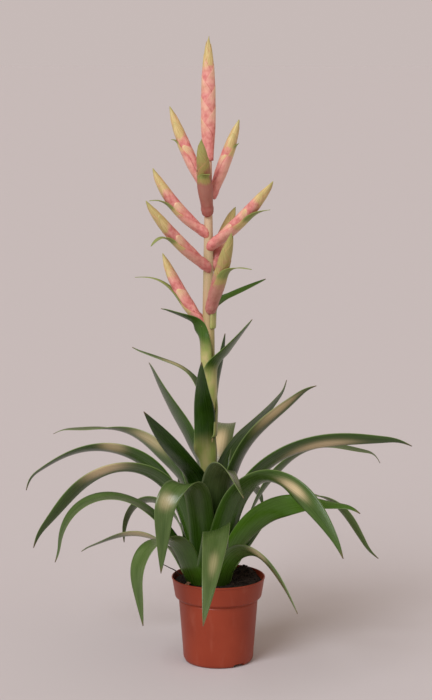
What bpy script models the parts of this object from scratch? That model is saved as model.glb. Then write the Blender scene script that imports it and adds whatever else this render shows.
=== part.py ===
"""A potted bromeliad in a plastic nursery pot.

Frame: origin on the table under the centre of the pot's foot, +Z up, -Y to the front, +X right.
Everything is in metres. The strap leaves sit in nested cups round the stem, the outermost lowest.
"""

from collections import namedtuple
from math import cos, pi, radians, sin, tan

import bmesh
import bpy
import numpy as np
from mathutils import Matrix, Vector

# Nursery pot
RIM_RADIUS = 0.0600
BAND_FOOT_RADIUS = 0.0555
SHOULDER_RADIUS = 0.0507
FOOT_RADIUS = 0.0445
POT_HEIGHT = 0.1105
BAND_HEIGHT = 0.0260
BAND_STEP = 0.0035
POT_WALL = 0.0012
FOOT_CHAMFER = 0.0030
FOOT_LIFT = 0.0050
FOOT_LAND = 0.0025
NOTCH_COUNT = 3
NOTCH_WIDTH = 0.0170
NOTCH_HEIGHT = 0.0040
NOTCH_TURN = 307
HOLE_COUNT = 6
HOLE_RADIUS = 0.0040
HOLE_CIRCLE = 0.0280
POT_STEPS = 60

# Soil
SOIL_DROP = 0.0065
SOIL_GAP = 0.0004
SOIL_LUMP = 0.0011
SOIL_CRUMB = 0.0007
SOIL_MOUND = 0.0110
MOUND_PLACE = (0.57, 0.50)
MOUND_RADIUS = 0.0090
BOWL_FLARE = 0.0055

# Litter on the soil: places are shares of the rim's radius, lifts are above the soil's level
CHIP_SIZE = (0.0085, 0.0045, 0.0018)
CHIP_PLACE = (-0.66, -0.50)
CHIP_LIFT = 0.0038
CHIP_TILT = -25
TWIG_RADIUS = 0.0008
TWIG_LONG = [(-0.75, 0.10, 0.0030), (-0.95, 0.05, 0.0135), (-1.225, 0.00, 0.0215)]
TWIG_SHORT = [(-0.74, 0.333, 0.0030), (-0.783, 0.358, 0.0085), (-0.833, 0.367, 0.0120)]

# Plant
PLANT_X = -0.0125
CROWN_DEPTH = 0.0160
LEAF_THICKNESS = 0.0008
STEM_FOOT_RADIUS = 0.0070
STEM_SWELL = 0.0010
STEM_TOP_RADIUS = 0.0042
STEM_LENGTH = 0.5520
INSERTION_GAP = 0.0010
CUP_HEIGHT = 0.0240
CLEARANCE = 0.0004

SOIL_LEVEL = POT_HEIGHT - SOIL_DROP
CROWN_LEVEL = SOIL_LEVEL - CROWN_DEPTH
STEM_TOP = CROWN_LEVEL + STEM_LENGTH
INSERTION_RADIUS = STEM_FOOT_RADIUS + INSERTION_GAP
AXIS = np.array([PLANT_X, 0.0])

GREEN_DARK = (0.022, 0.075, 0.012, 1)
GREEN = (0.045, 0.130, 0.022, 1)
GREEN_GREY = (0.090, 0.170, 0.060, 1)
GREEN_PALE = (0.300, 0.400, 0.110, 1)
PINK = (0.700, 0.230, 0.190, 1)
PINK_DUSKY = (0.520, 0.200, 0.180, 1)
TERRACOTTA = (0.300, 0.050, 0.022, 1)
PEAT = (0.012, 0.008, 0.006, 1)
BARK = (0.220, 0.130, 0.070, 1)

# One strap leaf: where it stands round the stem, how far its cup reaches out and how far above the
# crown, its length and width, the steepness at which it leaves the cup and at its tip, where along
# it the bend lies and over how much of its length, how far its heading turns, how far it rolls and
# its outer half twists, how far past the cup it keeps clasping, and its colour.
Leaf = namedtuple("Leaf", "name turn reach level length width rise fall bend spread sweep roll twist hold colour")
ROSETTE = [
    Leaf("leaf_left_1", 127, 0.0035, 0.052, 0.324, 0.030, 88, 27, 0.41, 0.40, -18, 85, -8, 0, GREEN_DARK),
    Leaf("leaf_right_1", 44, 0.0078, 0.036, 0.322, 0.023, 84, 20, 0.42, 0.35, 18, 85, 20, 0, GREEN),
    Leaf("leaf_left_2", 242, 0.0068, 0.037, 0.299, 0.030, 85, 38, 0.38, 0.22, 3, 9, 19, 0, GREEN_DARK),
    Leaf("leaf_back_1", 76, 0.0110, 0.024, 0.330, 0.036, 76, -45, 0.58, 0.60, 30, 0, 0, 0, GREEN_GREY),
    Leaf("leaf_right_2", 333, 0.0080, 0.031, 0.306, 0.033, 82, 40, 0.53, 0.58, -4, -5, -23, 0, GREEN),
    Leaf("leaf_left_3", 145, 0.0092, 0.027, 0.357, 0.028, 81, -7, 0.46, 0.70, -1, 77, -85, 0, GREEN_GREY),
    Leaf("leaf_front_2", 281, 0.0092, 0.027, 0.276, 0.036, 79, -20, 0.60, 0.62, 6, -6, -35, 0, GREEN_DARK),
    Leaf("leaf_left_4", 179, 0.0105, 0.023, 0.345, 0.031, 77, -34, 0.53, 0.78, -22, 45, -23, 0, GREEN),
    Leaf("leaf_left_5", 207, 0.0118, 0.019, 0.363, 0.034, 77, -51, 0.51, 0.66, -43, 26, 42, 0, GREEN),
    Leaf("leaf_right_3", 334, 0.0118, 0.019, 0.366, 0.037, 79, -1, 0.49, 0.79, 33, -19, -31, 0, GREEN),
    Leaf("leaf_left_7", 259, 0.0126, 0.016, 0.295, 0.034, 74, -89, 0.59, 0.41, -71, 2, -13, 0, GREEN),
    Leaf("leaf_left_8", 136, 0.0142, 0.012, 0.231, 0.022, 63, -107, 0.68, 0.96, 8, 57, -54, 0, GREEN_GREY),
    Leaf("leaf_right_5", 301, 0.0142, 0.011, 0.374, 0.038, 74, -52, 0.57, 0.87, 17, -8, -109, 0, GREEN),
    Leaf("leaf_right_4", 25, 0.0155, 0.009, 0.360, 0.020, 64, -15, 0.55, 0.59, 22, -54, 78, 0, GREEN_GREY),
    Leaf("leaf_left_6", 166, 0.0168, 0.007, 0.309, 0.028, 63, -125, 0.69, 1.14, -3, 0, -42, 0, GREEN),
    Leaf("leaf_right_7", 323, 0.0173, 0.006, 0.281, 0.030, 69, 2, 0.48, 0.78, 5, -61, -96, 0, GREEN),
    Leaf("leaf_right_6", 6, 0.0175, 0.004, 0.310, 0.022, 58, -60, 0.58, 0.56, 1, 13, -60, 0, GREEN_GREY),
    Leaf("leaf_back_3", 101, 0.0175, 0.003, 0.290, 0.026, 62.5, -35, 0.60, 0.80, 0, 0, 0, 0, GREEN),
    Leaf("leaf_left_9", 150, 0.0192, 0.002, 0.230, 0.019, 62, -24, 0.39, 0.80, -11, 39, -26, 0, GREEN_GREY),
    Leaf("leaf_front_3", 278, 0.0192, 0.002, 0.339, 0.036, 60, -61, 0.57, 0.92, -25, 18, -22, 0, GREEN),
    Leaf("leaf_left_10", 239, 0.0205, 0.000, 0.254, 0.031, 57, -97, 0.55, 0.56, -64, 16, -3, 0, GREEN_GREY),
    Leaf("leaf_back_2", 70, 0.0205, 0.000, 0.280, 0.028, 62, -40, 0.58, 0.80, 0, 0, 0, 0, GREEN),
    Leaf("leaf_right_8", 292, 0.0218, -0.002, 0.272, 0.024, 57, -51, 0.57, 1.01, 15, -40, -35, 0, GREEN),
    Leaf("leaf_back_4", 92, 0.0218, -0.002, 0.310, 0.028, 58, -20, 0.55, 0.70, 0, 0, 0, 0, GREEN_GREY),
]
# Leaves standing on the stem itself: level, length and hold are shares of the stem's length, so that
# they keep clear of the spikes above.
STEM_LEAVES = [
    Leaf("leaf_front_1", 255, 0.0012, 0.163, 0.437, 0.028, 86.5, 53, 0.57, 0.25, 20, 45, -62, 0.127, GREEN_DARK),
    Leaf("stem_leaf_1", 164, 0.0003, 0.390, 0.280, 0.010, 88.5, 18, 0.42, 0.52, 3, -5, -4, 0.049, GREEN),
    Leaf("stem_leaf_2", 35, 0.0042, 0.370, 0.239, 0.014, 88.5, 81, 0.45, 0.66, -12, -45, -25, 0.036, GREEN_DARK),
    Leaf("stem_leaf_3", 321, 0.0004, 0.430, 0.277, 0.022, 88.5, 43, 0.40, 0.18, -15, -3, 12, 0.082, GREEN),
    Leaf("stem_leaf_4", 201, 0.0002, 0.518, 0.216, 0.013, 88.5, 21, 0.54, 0.25, 3, 45, -24, 0.054, GREEN),
    Leaf("stem_leaf_5", 22, 0.0007, 0.622, 0.185, 0.008, 88.5, 21, 0.31, 0.30, -3, 41, -4, 0.025, GREEN),
]
SHEATH_WIDTH = 0.0400
STEM_SHEATH_WIDTH = 0.0240
SHEATH_END = 0.30
SHEATH_ANGLE = 86
STEM_SHEATH_ANGLE = 150
STEM_CUP_HEIGHT = 0.0080
TAPER_START = 0.45
TAPER_POWER = 2.8
TIP_WIDTH = 0.0014
CHANNEL_ANGLE = 55
TIP_CHANNEL_ANGLE = 20
BLADE_EASE = 0.060
STEM_BLADE_EASE = 0.032
LEAF_ROWS = 14
LEAF_COLUMNS = 3
STEM_LEAF_ROWS = 12
STEM_LEAF_COLUMNS = 4
STEM_SHEATH_GAP = 0.0008
SAMPLES = 200

# One side spike and the bract that clasps its foot: where it leaves the stem (heading, share of the
# stem's length), its length, steepness and how far that changes, the bract's length, the share of it
# at which its tip turns away from the spike and by how much, and the spike's colour.
Spike = namedtuple("Spike", "name turn share length rise curve bract turn_away swing colour")
SPIKES = [
    Spike("spike_1", 172, 0.950, 0.104, 62, 9, 0.068, 0.85, 60, PINK),
    Spike("spike_2", 350, 0.936, 0.093, 69, 2, 0.066, 0.88, 30, PINK),
    Spike("spike_3", 258, 0.893, 0.093, 65, 4, 0.056, 0.80, 70, PINK_DUSKY),
    Spike("spike_4", 196, 0.845, 0.101, 36, 30, 0.078, 0.62, 65, PINK),
    Spike("spike_5", 318, 0.815, 0.128, 32, 16, 0.104, 0.62, 40, PINK),
    Spike("spike_6", 42, 0.773, 0.076, 61, 0, 0.048, 0.85, 30, PINK),
    Spike("spike_7", 212, 0.768, 0.119, 36, 17, 0.090, 0.62, 95, PINK),
    Spike("spike_8", 295, 0.675, 0.113, 57, 3, 0.088, 0.58, 70, PINK_DUSKY),
    Spike("spike_9", 172, 0.637, 0.098, 51, 19, 0.104, 0.50, 65, PINK),
]
TOP_SPIKE_LENGTH = 0.1535
TOP_SPIKE_WIDTH = 0.0175
TOP_SPIKE_DEPTH = 0.0130
SPIKE_WIDTH = 0.0145
SPIKE_DEPTH = 0.0120
SPIKE_FOOT_GAP = 0.0022
SPIKE_FOOT_SHARE = 0.42
SPIKE_WIDEST = 0.32
SPIKE_TAPER = 2.4
SPIKE_SIDES = 8
SPIKE_RINGS = 9
BRACT_GAP = 0.0012
BRACT_ARC = 200
BRACT_ROWS = 9
BRACT_COLUMNS = 5
BRACT_TIP_ARC = 0.14
BRACT_THICKNESS = 0.0007


def smooth(x):
    """Eased step from 0 to 1."""
    x = np.clip(x, 0.0, 1.0)
    return x * x * (3 - 2 * x)


def material(name, colour, roughness, metallic=0.0):
    made = bpy.data.materials.get(name) or bpy.data.materials.new(name)
    made.use_nodes = True
    shader = made.node_tree.nodes["Principled BSDF"]
    shader.inputs["Base Color"].default_value = colour
    shader.inputs["Roughness"].default_value = roughness
    shader.inputs["Metallic"].default_value = metallic
    return made


def add_object(name, mesh, finish, collection):
    mesh.materials.append(finish)
    mesh.shade_smooth()
    mesh.set_sharp_from_angle(angle=radians(40))
    made = bpy.data.objects.new(name, mesh)
    collection.objects.link(made)
    return made


def mesh_of(name, form):
    mesh = bpy.data.meshes.new(name)
    form.to_mesh(mesh)
    form.free()
    return mesh


def turned(name, profile, steps, centre, finish, collection):
    """A turned body: profile is its (radius, height) outline, up the inside and down the outside."""
    mesh = bpy.data.meshes.new(name)
    edges = [(i, i + 1) for i in range(len(profile) - 1)]
    mesh.from_pydata([(radius, 0, height) for radius, height in profile], edges, [])
    made = add_object(name, mesh, finish, collection)
    made.location.x = centre
    screw = made.modifiers.new("Turn", "SCREW")
    screw.steps = steps
    screw.render_steps = steps
    screw.use_merge_vertices = True
    screw.merge_threshold = 0.00005
    return made


def sheet(name, point, rows, columns, thickness, finish, collection):
    """A thin curved sheet: a grid whose vertices are placed by point(along, across), then thickened."""
    form = bmesh.new()
    bmesh.ops.create_grid(form, x_segments=rows, y_segments=columns, size=0.5)
    for vertex in form.verts:
        vertex.co = point(vertex.co.x + 0.5, vertex.co.y * 2)
    made = add_object(name, mesh_of(name, form), finish, collection)
    wall = made.modifiers.new("Thickness", "SOLIDIFY")
    wall.thickness = thickness
    wall.offset = 0.0
    return made


# ---- pot ----

def pot_inner_radius(height):
    """The pot's inside radius at a height between its floor and its rim."""
    heights = [FOOT_CHAMFER, POT_HEIGHT - BAND_HEIGHT - BAND_STEP, POT_HEIGHT - BAND_HEIGHT, POT_HEIGHT]
    radii = [FOOT_RADIUS, SHOULDER_RADIUS, BAND_FOOT_RADIUS, RIM_RADIUS]
    return float(np.interp(height, heights, radii)) - POT_WALL


def cutters_object(name, form, collection):
    made = bpy.data.objects.new(name, mesh_of(name, form))
    made.hide_render = True
    made.display_type = "WIRE"
    collection.objects.link(made)
    return made


def make_pot(parts, cutters):
    band_foot = POT_HEIGHT - BAND_HEIGHT
    shoulder = band_foot - BAND_STEP
    floor_top = FOOT_LIFT + POT_WALL
    lip = POT_WALL / 2
    profile = [
        (0, floor_top),
        (pot_inner_radius(floor_top), floor_top),
        (SHOULDER_RADIUS - POT_WALL, shoulder),
        (BAND_FOOT_RADIUS - POT_WALL, band_foot),
        (RIM_RADIUS - POT_WALL, POT_HEIGHT - lip),
        (RIM_RADIUS - lip, POT_HEIGHT),
        (RIM_RADIUS, POT_HEIGHT - lip),
        (BAND_FOOT_RADIUS, band_foot),
        (SHOULDER_RADIUS, shoulder),
        (FOOT_RADIUS, FOOT_CHAMFER),
        (FOOT_RADIUS - FOOT_CHAMFER, 0),
        (FOOT_RADIUS - FOOT_CHAMFER - FOOT_LAND, 0),
        (FOOT_RADIUS - FOOT_CHAMFER - FOOT_LAND, FOOT_LIFT),
        (0, FOOT_LIFT),
    ]
    pot = turned("pot", profile, POT_STEPS, 0, material("pot_plastic", TERRACOTTA, 0.45), parts)

    notches = bmesh.new()
    for index in range(NOTCH_COUNT):
        heading = radians(NOTCH_TURN + 360 * index / NOTCH_COUNT)
        made = bmesh.ops.create_cube(notches, size=1)
        size = Vector((FOOT_RADIUS, NOTCH_WIDTH, 2 * NOTCH_HEIGHT))
        bmesh.ops.scale(notches, vec=size, verts=made["verts"])
        bmesh.ops.translate(notches, vec=(FOOT_RADIUS, 0, 0), verts=made["verts"])
        bmesh.ops.rotate(notches, matrix=Matrix.Rotation(heading, 3, "Z"), verts=made["verts"])
    holes = bmesh.new()
    for index in range(HOLE_COUNT):
        heading = 2 * pi * index / HOLE_COUNT
        made = bmesh.ops.create_cone(
            holes, cap_ends=True, segments=16, radius1=HOLE_RADIUS, radius2=HOLE_RADIUS, depth=4 * FOOT_LIFT
        )
        place = (HOLE_CIRCLE * cos(heading), HOLE_CIRCLE * sin(heading), FOOT_LIFT)
        bmesh.ops.translate(holes, vec=place, verts=made["verts"])
    for name, form in (("foot_notches", notches), ("drain_holes", holes)):
        cut = pot.modifiers.new(name, "BOOLEAN")
        cut.operation = "DIFFERENCE"
        cut.object = cutters_object(name, form, cutters)
    return pot


# ---- soil and what lies on it ----

def soil_height(x, y):
    """The soil's lumpy top: low all round, one mound at the back right."""
    lumps = SOIL_LUMP * sin(x * 310 + 1.0) * sin(y * 270)
    crumbs = SOIL_CRUMB * sin(x * 590) * sin(y * 640 + 2)
    away = Vector((x, y)) - Vector(MOUND_PLACE) * RIM_RADIUS
    mound = SOIL_MOUND * np.exp(-away.length_squared / MOUND_RADIUS**2 / 2)
    return SOIL_LEVEL + lumps + crumbs + mound


def make_soil(parts):
    """The soil fills the pot and has a bowl in its middle, in which the plant's lowest cup sits."""
    bottom = FOOT_LIFT + POT_WALL + SOIL_GAP
    seat = LEAF_THICKNESS / 2 + CLEARANCE
    lowest = min(leaf.level for leaf in ROSETTE)
    widest = max(leaf.reach for leaf in ROSETTE)
    bowl = []
    for angle in (0, 25, 45, 60, 75):
        reach = widest + 2 * seat
        radius = INSERTION_RADIUS + reach * sin(radians(angle))
        bowl.append((radius, CROWN_LEVEL + lowest - 2 * seat + CUP_HEIGHT * (1 - cos(radians(angle)))))
    bowl = [(0, bowl[0][1])] + [corner for corner in bowl if corner[1] < SOIL_LEVEL - 0.002]
    brim = bowl[-1][0] + BOWL_FLARE
    edge = pot_inner_radius(SOIL_LEVEL) - SOIL_GAP
    top = [(brim + (edge - brim) * share, SOIL_LEVEL) for share in (0, 0.3, 0.6, 0.85, 1)]
    sides = [SOIL_LEVEL - 0.004, POT_HEIGHT - BAND_HEIGHT, POT_HEIGHT - BAND_HEIGHT - BAND_STEP, bottom]
    wall = [(pot_inner_radius(height) - SOIL_GAP, height) for height in sides]
    form = bmesh.new()
    corners = [form.verts.new((radius, 0, height)) for radius, height in bowl + top + wall + [(0, bottom)]]
    edges = [form.edges.new(pair) for pair in zip(corners, corners[1:])]
    bmesh.ops.spin(
        form, geom=corners + edges, cent=(0, 0, 0), axis=(0, 0, 1), angle=2 * pi, steps=40, use_merge=True
    )
    bmesh.ops.remove_doubles(form, verts=form.verts, dist=0.00005)
    bmesh.ops.recalc_face_normals(form, faces=form.faces)
    for vertex in form.verts:
        radius = vertex.co.xy.length
        if vertex.co.z > SOIL_LEVEL - 0.001 and radius > brim - 0.001:
            inside = smooth((edge - radius) / 0.006)
            vertex.co.z += (soil_height(vertex.co.x, vertex.co.y) - SOIL_LEVEL) * inside
        if radius < brim + 0.001:
            vertex.co.x += PLANT_X * smooth((brim + 0.002 - radius) / 0.002)
    return add_object("soil", mesh_of("soil", form), material("peat", PEAT, 0.95), parts)


def make_litter(parts):
    """One bark chip and two twigs, lying loose on the soil by the left of the rim."""
    chip_form = bmesh.new()
    bmesh.ops.create_cube(chip_form, size=1)
    bmesh.ops.scale(chip_form, vec=CHIP_SIZE, verts=chip_form.verts)
    bmesh.ops.rotate(chip_form, matrix=Matrix.Rotation(radians(CHIP_TILT), 3, "Y"), verts=chip_form.verts)
    place = (CHIP_PLACE[0] * RIM_RADIUS, CHIP_PLACE[1] * RIM_RADIUS, SOIL_LEVEL + CHIP_LIFT)
    bmesh.ops.translate(chip_form, vec=place, verts=chip_form.verts)
    add_object("bark_chip", mesh_of("bark_chip", chip_form), material("bark", BARK, 0.85), parts)
    for name, points in (("twig_long", TWIG_LONG), ("twig_short", TWIG_SHORT)):
        line = bpy.data.curves.new(name, "CURVE")
        line.dimensions = "3D"
        line.bevel_depth = TWIG_RADIUS
        line.bevel_resolution = 1
        line.use_fill_caps = True
        spline = line.splines.new("POLY")
        spline.points.add(len(points) - 1)
        for knot, (x, y, lift) in zip(spline.points, points):
            knot.co = (x * RIM_RADIUS, y * RIM_RADIUS, SOIL_LEVEL + lift, 1)
        line.materials.append(material("twig_wood", PEAT, 0.8))
        parts.objects.link(bpy.data.objects.new(name, line))


# ---- stem and leaves ----

def stem_radius(height):
    """The stem's radius at a height above the table."""
    share = (height - CROWN_LEVEL) / STEM_LENGTH
    full = STEM_FOOT_RADIUS + STEM_SWELL
    swollen = STEM_FOOT_RADIUS + STEM_SWELL * smooth((share - 0.30) / 0.065)
    return swollen - (full - STEM_TOP_RADIUS) * smooth((share - 0.52) / 0.54)


def make_stem(parts):
    foot = CROWN_LEVEL + 0.001
    heights = np.linspace(STEM_TOP, foot, 24)
    profile = [(0, STEM_TOP)] + [(stem_radius(height), height) for height in heights] + [(0, foot)]
    return turned("stem", profile, 16, PLANT_X, material("stem_skin", GREEN_PALE, 0.45), parts)


class Midline:
    """The line along the middle of a leaf: a quarter cup round the stem, then a free arching blade."""

    def __init__(self, leaf, level, foot_radius, cup_height):
        lift = np.arctan(tan(radians(leaf.rise)) * leaf.reach / cup_height)
        angles = np.linspace(0, lift, 40)
        radius = foot_radius + leaf.reach * np.sin(angles)
        height = level + cup_height * (1 - np.cos(angles))
        heading = radians(leaf.turn)
        cup_line = np.stack(
            [AXIS[0] + radius * cos(heading), AXIS[1] + radius * sin(heading), height], 1
        )
        self.cup_length = np.linalg.norm(np.diff(cup_line, axis=0), axis=1).sum()
        free = leaf.length - self.cup_length
        along = (np.arange(SAMPLES) + 0.5) / SAMPLES
        share = (self.cup_length + along * free) / leaf.length
        eased = smooth((share - leaf.bend) / leaf.spread + 0.5)
        steep = radians(leaf.rise) + radians(leaf.fall - leaf.rise) * eased
        facing = heading + radians(leaf.sweep) * along**1.5
        step = np.stack(
            [np.cos(steep) * np.cos(facing), np.cos(steep) * np.sin(facing), np.sin(steep)], 1
        )
        blade_line = cup_line[-1] + np.cumsum(step, axis=0) * free / SAMPLES
        self.points = np.concatenate([cup_line, blade_line])
        gaps = np.linalg.norm(np.diff(self.points, axis=0), axis=1)
        self.share = np.concatenate([[0], np.cumsum(gaps)]) / gaps.sum()
        self.across = np.array([-sin(heading), cos(heading), 0.0])
        self.roll = radians(leaf.roll)
        self.twist = radians(leaf.twist)

    def at(self, share):
        return np.array([np.interp(share, self.share, self.points[:, i]) for i in range(3)])

    def frame(self, share):
        """Position, direction across and direction of the upper face, with the leaf's roll."""
        ahead = self.at(min(share + 0.004, 1))
        behind = self.at(max(share - 0.004, 0))
        along = (ahead - behind) / np.linalg.norm(ahead - behind)
        across = self.across - along * np.dot(self.across, along)
        across = across / np.linalg.norm(across)
        upper = np.cross(along, across)
        roll = self.roll * smooth((share - 0.1) / 0.4) + self.twist * smooth((share - 0.45) / 0.4)
        turned_across = across * cos(roll) + upper * sin(roll)
        return self.at(share), turned_across, np.cross(along, turned_across)


def leaf_width(leaf, share, sheath, sheath_limit):
    """The sheath is widest low down, the blade keeps its width past the middle, then runs to a point."""
    low = min(sheath, sheath_limit)
    opening = smooth((share - leaf.hold / leaf.length) / SHEATH_END)
    blade = leaf.width + (low - leaf.width) * (1 - opening)
    taper = np.clip((share - TAPER_START) / (1 - TAPER_START), 0, 1)
    return TIP_WIDTH + (blade - TIP_WIDTH) * (1 - taper**TAPER_POWER)


def make_leaf(leaf, level, foot_radius, cup_height, sheath, sheath_angle, release, grid, parts):
    line = Midline(leaf, level, foot_radius, cup_height)

    def point(share, side):
        """A point of the leaf: side is -1 at one edge and 1 at the other."""
        middle, across, upper = line.frame(share)
        spoke = middle[:2] - AXIS
        radius = np.linalg.norm(spoke)
        width = leaf_width(leaf, share, sheath, radius * radians(sheath_angle))
        turn = side * width / 2 / radius
        wrapped = np.array(
            [
                AXIS[0] + spoke[0] * cos(turn) - spoke[1] * sin(turn),
                AXIS[1] + spoke[0] * sin(turn) + spoke[1] * cos(turn),
                middle[2],
            ]
        )
        channel = radians(CHANNEL_ANGLE + (TIP_CHANNEL_ANGLE - CHANNEL_ANGLE) * share)
        bow = width / channel
        angle = side * channel / 2
        free = middle + across * bow * sin(angle) + upper * bow * (1 - cos(angle))
        ease = smooth((share * leaf.length - line.cup_length - leaf.hold) / release)
        return Vector(wrapped + (free - wrapped) * ease)

    finish = material(leaf.name + "_skin", leaf.colour, 0.42)
    return sheet(leaf.name, point, *grid, LEAF_THICKNESS, finish, parts)


# ---- flower head ----

class SpikeLine:
    """The line through the middle of a spike, leaving the stem's surface and bending slightly up."""

    def __init__(self, start, turn, rise, curve, length):
        self.start = np.array(start)
        self.out = np.array([cos(radians(turn)), sin(radians(turn)), 0.0])
        self.rise = rise
        self.curve = curve
        self.length = length

    def frame(self, distance):
        """Position, direction across and direction of the side that faces the stem."""
        middle = radians(self.rise + self.curve * distance / self.length / 2)
        here = radians(self.rise + self.curve * distance / self.length)
        up = np.array([0.0, 0.0, 1.0])
        position = self.start + (self.out * cos(middle) + up * sin(middle)) * distance
        along = self.out * cos(here) + up * sin(here)
        across = np.array([-self.out[1], self.out[0], 0.0])
        return position, across, np.cross(along, across)


def spike_fullness(share):
    """How full a spike is at a share of its length: a narrow foot, widest low down, a pointed tip."""
    swell = SPIKE_FOOT_SHARE + (1 - SPIKE_FOOT_SHARE) * smooth(share / SPIKE_WIDEST)
    taper = np.clip((share - SPIKE_WIDEST) / (1 - SPIKE_WIDEST), 0, 1)
    return swell * (1 - taper**SPIKE_TAPER)


def make_spike(name, line, width, depth, colour, parts):
    """A ball drawn out along the spike's line, flattened a little front to back."""
    form = bmesh.new()
    bmesh.ops.create_uvsphere(form, u_segments=SPIKE_SIDES, v_segments=SPIKE_RINGS, radius=1)
    for vertex in form.verts:
        share = 1 - np.arccos(np.clip(vertex.co.z, -1, 1)) / pi
        side = vertex.co.xy.length
        around = vertex.co.xy / side if side > 0.001 else vertex.co.xy * 0
        position, across, inner = line.frame(share * line.length)
        full = spike_fullness(share)
        half = across * around.x * width / 2 + inner * around.y * depth / 2
        vertex.co = Vector(position + half * full)
    return add_object(name, mesh_of(name, form), material(name + "_skin", colour, 0.5), parts)


def make_bract(name, spike, line, parts):
    """The boat-shaped bract under a spike: it wraps the spike's foot, and its tip turns away."""
    steps = 60
    share = (np.arange(steps) + 0.5) / steps
    swing = radians(spike.swing) * smooth((share - spike.turn_away) / (1 - spike.turn_away))
    ahead = np.concatenate([[0], np.cumsum(np.cos(swing))]) * spike.bract / steps
    aside = np.concatenate([[0], np.cumsum(np.sin(swing))]) * spike.bract / steps
    marks = np.linspace(0, 1, steps + 1)

    def point(along, side):
        distance = np.interp(along, marks, ahead)
        away = np.interp(along, marks, aside)
        position, across, inner = line.frame(distance)
        full = spike_fullness(distance / spike.length)
        depth = SPIKE_DEPTH / 2 * full + BRACT_GAP
        width = SPIKE_WIDTH / 2 * full + BRACT_GAP
        closing = smooth((along - spike.turn_away + 0.2) / (1.15 - spike.turn_away))
        angle = radians(BRACT_ARC / 2) * side * (1 + (BRACT_TIP_ARC - 1) * closing)
        rib = position - inner * (depth + away)
        return Vector(rib + across * width * sin(angle) + inner * depth * (1 - cos(angle)))

    finish = material(name + "_skin", spike.colour, 0.5)
    return sheet(name, point, BRACT_ROWS, BRACT_COLUMNS, BRACT_THICKNESS, finish, parts)


def main():
    for old in list(bpy.data.objects):
        bpy.data.objects.remove(old)
    parts = bpy.data.collections.new("potted_bromeliad")
    cutters = bpy.data.collections.new("cutters")
    bpy.context.scene.collection.children.link(parts)
    bpy.context.scene.collection.children.link(cutters)
    make_pot(parts, cutters)
    make_soil(parts)
    make_litter(parts)
    make_stem(parts)
    for leaf in ROSETTE:
        level = CROWN_LEVEL + leaf.level
        grid = (LEAF_ROWS, LEAF_COLUMNS)
        make_leaf(leaf, level, INSERTION_RADIUS, CUP_HEIGHT, SHEATH_WIDTH, SHEATH_ANGLE, BLADE_EASE, grid, parts)
    for leaf in STEM_LEAVES:
        level = CROWN_LEVEL + leaf.level * STEM_LENGTH
        foot = stem_radius(level) + STEM_SHEATH_GAP + LEAF_THICKNESS / 2
        leaf = leaf._replace(length=leaf.length * STEM_LENGTH, hold=leaf.hold * STEM_LENGTH)
        grid = (STEM_LEAF_ROWS, STEM_LEAF_COLUMNS)
        make_leaf(
            leaf, level, foot, STEM_CUP_HEIGHT, STEM_SHEATH_WIDTH, STEM_SHEATH_ANGLE, STEM_BLADE_EASE, grid, parts
        )
    top_start = (PLANT_X, 0, STEM_TOP + CLEARANCE)
    top_line = SpikeLine(top_start, 90, 90, 0, TOP_SPIKE_LENGTH)
    make_spike("spike_top", top_line, TOP_SPIKE_WIDTH, TOP_SPIKE_DEPTH, PINK, parts)
    for spike in SPIKES:
        level = CROWN_LEVEL + spike.share * STEM_LENGTH
        reach = stem_radius(level) + SPIKE_FOOT_GAP
        heading = radians(spike.turn)
        start = (PLANT_X + reach * cos(heading), reach * sin(heading), level)
        line = SpikeLine(start, spike.turn, spike.rise, spike.curve, spike.length)
        make_spike(spike.name, line, SPIKE_WIDTH, SPIKE_DEPTH, spike.colour, parts)
        make_bract(spike.name.replace("spike", "bract"), spike, line, parts)


main()
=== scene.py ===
"""The looks of a potted bromeliad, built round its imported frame. Metres, +Z up, -Y to the front."""

from collections import namedtuple
from math import cos, pi, radians, sin, sqrt, tan

import bmesh
import bpy
import numpy as np
from mathutils import Matrix, Vector, noise


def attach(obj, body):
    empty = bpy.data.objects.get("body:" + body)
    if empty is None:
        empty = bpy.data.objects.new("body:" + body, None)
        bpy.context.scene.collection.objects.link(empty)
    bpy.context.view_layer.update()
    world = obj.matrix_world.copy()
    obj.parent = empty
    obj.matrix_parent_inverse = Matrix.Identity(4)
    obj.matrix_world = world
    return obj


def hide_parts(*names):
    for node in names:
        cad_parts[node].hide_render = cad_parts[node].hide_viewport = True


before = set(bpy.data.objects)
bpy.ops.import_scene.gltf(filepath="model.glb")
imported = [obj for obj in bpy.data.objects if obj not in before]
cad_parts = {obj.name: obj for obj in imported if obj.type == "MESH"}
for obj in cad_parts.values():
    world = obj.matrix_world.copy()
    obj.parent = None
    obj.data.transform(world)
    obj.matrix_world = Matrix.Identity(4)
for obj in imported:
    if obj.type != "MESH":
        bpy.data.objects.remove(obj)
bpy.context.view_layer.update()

# ---- The studio ----
# A wide plain sheet of pale backing paper under soft light: one large softbox high on the left in
# front of the plant, a weaker one on the right, and an even room. Past the paper's far edge the
# room shows in the lit paper's own tone, so the backdrop is seamless.
PAPER_SIZE = 600.0
PAPER_COLOUR = (0.595, 0.560, 0.562, 1)
LIT_PAPER_COLOUR = (0.568, 0.492, 0.476, 1)
ROOM_COLOUR = (0.78, 0.64, 0.55, 1)
ROOM_LIGHT = 0.60
CAMERA_PLACE = (-0.003, -2.350, 0.763)
CAMERA_TILT = 81.3
CAMERA_LENS = 97.0
CAMERA_SENSOR = 36.0

scene = bpy.context.scene
scene.view_settings.view_transform = "Standard"

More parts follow.
